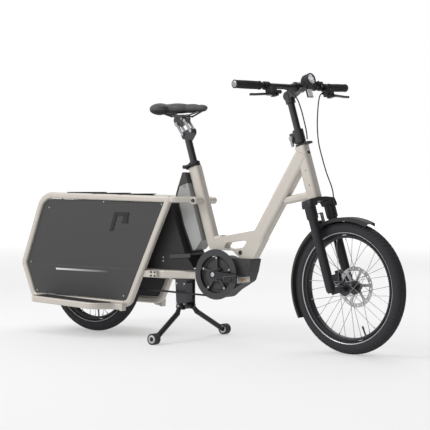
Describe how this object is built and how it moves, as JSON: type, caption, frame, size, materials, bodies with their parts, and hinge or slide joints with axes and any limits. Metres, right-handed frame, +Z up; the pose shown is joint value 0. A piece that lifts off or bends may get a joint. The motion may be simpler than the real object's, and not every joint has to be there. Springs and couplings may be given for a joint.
{
  "type": "longtail cargo bicycle",
  "caption": "Longtail electric cargo bicycle with side loops and panels, running boards, belt drive, suspension fork and seatpost, and a two-legged rolling stand.",
  "frame": {"origin": "on the ground, at the middle of the bicycle's length and width", "axes": "+X forward, +Y to the rider's left, +Z up"},
  "size_m": [1.9066, 0.6913, 1.0969],
  "materials": {
    "frame_paint": "satin paint",
    "black_paint": "satin black paint",
    "panel_plastic": "fine grained matte plastic",
    "tread_rubber": "matte",
    "black_plastic": "satin moulded plastic",
    "belt_rubber": "matte",
    "battery_case": "satin silver grey",
    "dark_anodised": "dark anodised",
    "steel": "bright steel",
    "grey_alloy": "bead blasted",
    "saddle_skin": "smooth synthetic leather",
    "tyre": "matte rubber",
    "grip_rubber": "matte ribbed rubber",
    "hose_rubber": "satin",
    "clear_lens": "clear",
    "amber_reflector": "prismatic",
    "red_reflector": "prismatic",
    "reflective_strip": "retroreflective"
  },
  "bodies": {
    "frame": {"main_frame": "frame_paint", "right_loop": "frame_paint", "left_loop": "frame_paint", "rear_stays": "frame_paint", "deck_bars": "black_paint", "right_panel": "panel_plastic", "left_panel": "panel_plastic", "running_boards": "frame_paint", "board_treads": "tread_rubber", "wheel_guards": "black_plastic", "motor_cover": "panel_plastic", "belt": "belt_rubber", "battery": "battery_case", "seat_collar": "dark_anodised", "stand_bracket": "dark_anodised", "headset_cups": "black_paint", "rear_caliper": "black_paint", "frame_bolts": "dark_anodised"},
    "seat_lever": {"seat_lever": "black_paint"},
    "seatpost": {"seatpost": "dark_anodised"},
    "front_link": {"link_front": "grey_alloy"},
    "rear_link": {"link_rear": "grey_alloy"},
    "saddle_head": {"saddle_clamp": "dark_anodised", "saddle": "saddle_skin"},
    "right_latch": {"right_latch": "black_plastic"},
    "left_latch": {"left_latch": "black_plastic"},
    "stand": {"stand_legs": "black_paint"},
    "right_roller": {"right_stand_wheel": "tread_rubber"},
    "left_roller": {"left_stand_wheel": "tread_rubber"},
    "cranks": {"right_crank": "black_paint", "left_crank": "black_paint", "belt_ring": "dark_anodised"},
    "right_pedal": {"right_pedal": "black_plastic"},
    "left_pedal": {"left_pedal": "black_plastic"},
    "rear_wheel": {"rear_tyre": "tyre", "rear_rim": "black_paint", "rear_hub": "dark_anodised", "rear_spokes": "grey_alloy", "rear_rotor": "steel"},
    "rear_sprocket": {"rear_sprocket": "grey_alloy"},
    "steering": {"fork_crown": "black_paint", "stem_clamp": "dark_anodised", "right_hose": "hose_rubber", "left_hose": "hose_rubber"},
    "stem_lever": {"stem_lever": "grey_alloy"},
    "bars": {"stem": "dark_anodised", "handlebar": "black_paint", "grips": "grip_rubber", "lever_mounts": "black_plastic", "headlight": "black_plastic"},
    "right_lever": {"right_lever": "black_paint"},
    "left_lever": {"left_lever": "black_paint"},
    "fork_lower": {"fork_lowers": "black_paint", "front_caliper": "black_paint", "front_fender": "black_plastic"},
    "front_wheel": {"front_tyre": "tyre", "front_rim": "black_paint", "front_hub": "dark_anodised", "front_spokes": "grey_alloy", "front_rotor": "steel"}
  },
  "joints": [
    {"name": "steer", "type": "hinge", "parent": "frame", "child": "steering", "pos_m": [0.533, 0, 0.602], "axis": [-0.2924, 0, 0.9563], "range_deg": [-53, 67]},
    {"name": "fork_travel", "type": "slide", "parent": "steering", "child": "fork_lower", "axis": [-0.2924, 0, 0.9563], "range_m": [0, 0.03], "stiffness_N_per_m": 9000, "springref_m": -0.04},
    {"name": "front_wheel_spin", "type": "hinge", "parent": "fork_lower", "child": "front_wheel", "pos_m": [0.6974, -0.00695, 0.25778], "axis": [0.1165, 0.9925, 0.0356], "continuous": true},
    {"name": "rear_wheel_spin", "type": "hinge", "parent": "frame", "child": "rear_wheel", "pos_m": [-0.612, 0, 0.258], "axis": [0, 1, 0], "continuous": true},
    {"name": "crank_spin", "type": "hinge", "parent": "frame", "child": "cranks", "pos_m": [0.098, 0, 0.286], "axis": [0, 1, 0], "continuous": true},
    {"name": "sprocket_spin", "type": "hinge", "parent": "frame", "child": "rear_sprocket", "pos_m": [-0.612, 0, 0.258], "axis": [0, 1, 0], "continuous": true},
    {"name": "right_pedal_spin", "type": "hinge", "parent": "cranks", "child": "right_pedal", "pos_m": [0.25268, -0.13, 0.276], "axis": [0, 1, 0], "continuous": true},
    {"name": "left_pedal_spin", "type": "hinge", "parent": "cranks", "child": "left_pedal", "pos_m": [-0.05668, 0.13, 0.296], "axis": [0, 1, 0], "continuous": true},
    {"name": "stand_fold", "type": "hinge", "parent": "frame", "child": "stand", "pos_m": [-0.105, 0, 0.14], "axis": [0, 1, 0], "range_deg": [0, 85]},
    {"name": "right_roller_spin", "type": "hinge", "parent": "stand", "child": "right_roller", "pos_m": [-0.079, -0.247, 0.023], "axis": [0, 1, 0], "continuous": true},
    {"name": "left_roller_spin", "type": "hinge", "parent": "stand", "child": "left_roller", "pos_m": [-0.079, 0.247, 0.023], "axis": [0, 1, 0], "continuous": true},
    {"name": "seat_height", "type": "slide", "parent": "frame", "child": "seatpost", "axis": [-0.3007, 0, 0.9537], "range_m": [-0.07, 0.06]},
    {"name": "seat_lever_turn", "type": "hinge", "parent": "frame", "child": "seat_lever", "pos_m": [-0.09457, 0, 0.7279], "axis": [0, -1, 0], "range_deg": [0, 120]},
    {"name": "front_link_swing", "type": "hinge", "parent": "seatpost", "child": "front_link", "pos_m": [-0.074, 0, 0.88], "axis": [0, -1, 0], "range_deg": [0, 20], "stiffness_Nm_per_rad": 60, "springref_deg": -6.88},
    {"name": "rear_link_swing", "type": "hinge", "parent": "seatpost", "child": "rear_link", "pos_m": [-0.117, 0, 0.866], "axis": [0, -1, 0], "range_deg": [-0.5, 21]},
    {"name": "saddle_level", "type": "hinge", "parent": "front_link", "child": "saddle_head", "pos_m": [-0.107, 0, 0.925], "axis": [0, -1, 0], "range_deg": [-21, 0.5]},
    {"name": "right_latch_turn", "type": "hinge", "parent": "frame", "child": "right_latch", "pos_m": [-0.35, -0.11, 0.504], "axis": [0, -1, 0], "range_deg": [0, 90]},
    {"name": "left_latch_turn", "type": "hinge", "parent": "frame", "child": "left_latch", "pos_m": [-0.35, 0.11, 0.504], "axis": [0, -1, 0], "range_deg": [0, 90]},
    {"name": "stem_height", "type": "slide", "parent": "steering", "child": "bars", "axis": [-0.2924, 0, 0.9563], "range_m": [-0.04, 0.06], "deforming": ["right_hose", "left_hose"]},
    {"name": "stem_lever_turn", "type": "hinge", "parent": "steering", "child": "stem_lever", "pos_m": [0.42909, 0.00366, 0.84002], "axis": [0.1165, 0.9925, 0.0356], "range_deg": [0, 110]},
    {"name": "right_lever_squeeze", "type": "hinge", "parent": "bars", "child": "right_lever", "pos_m": [0.45906, -0.18322, 1.00813], "axis": [0.2924, 0, -0.9563], "range_deg": [0, 16], "stiffness_Nm_per_rad": 0.6, "springref_deg": -8.59},
    {"name": "left_lever_squeeze", "type": "hinge", "parent": "bars", "child": "left_lever", "pos_m": [0.50008, 0.16616, 1.02067], "axis": [-0.2924, 0, 0.9563], "range_deg": [0, 16], "stiffness_Nm_per_rad": 0.6, "springref_deg": -8.59}
  ],
  "couplings": [
    {"joint": "sprocket_spin", "follows": "crank_spin", "ratio": 2.08},
    {"joint": "rear_link_swing", "follows": "front_link_swing", "ratio": 1},
    {"joint": "saddle_level", "follows": "front_link_swing", "ratio": -1}
  ]
}
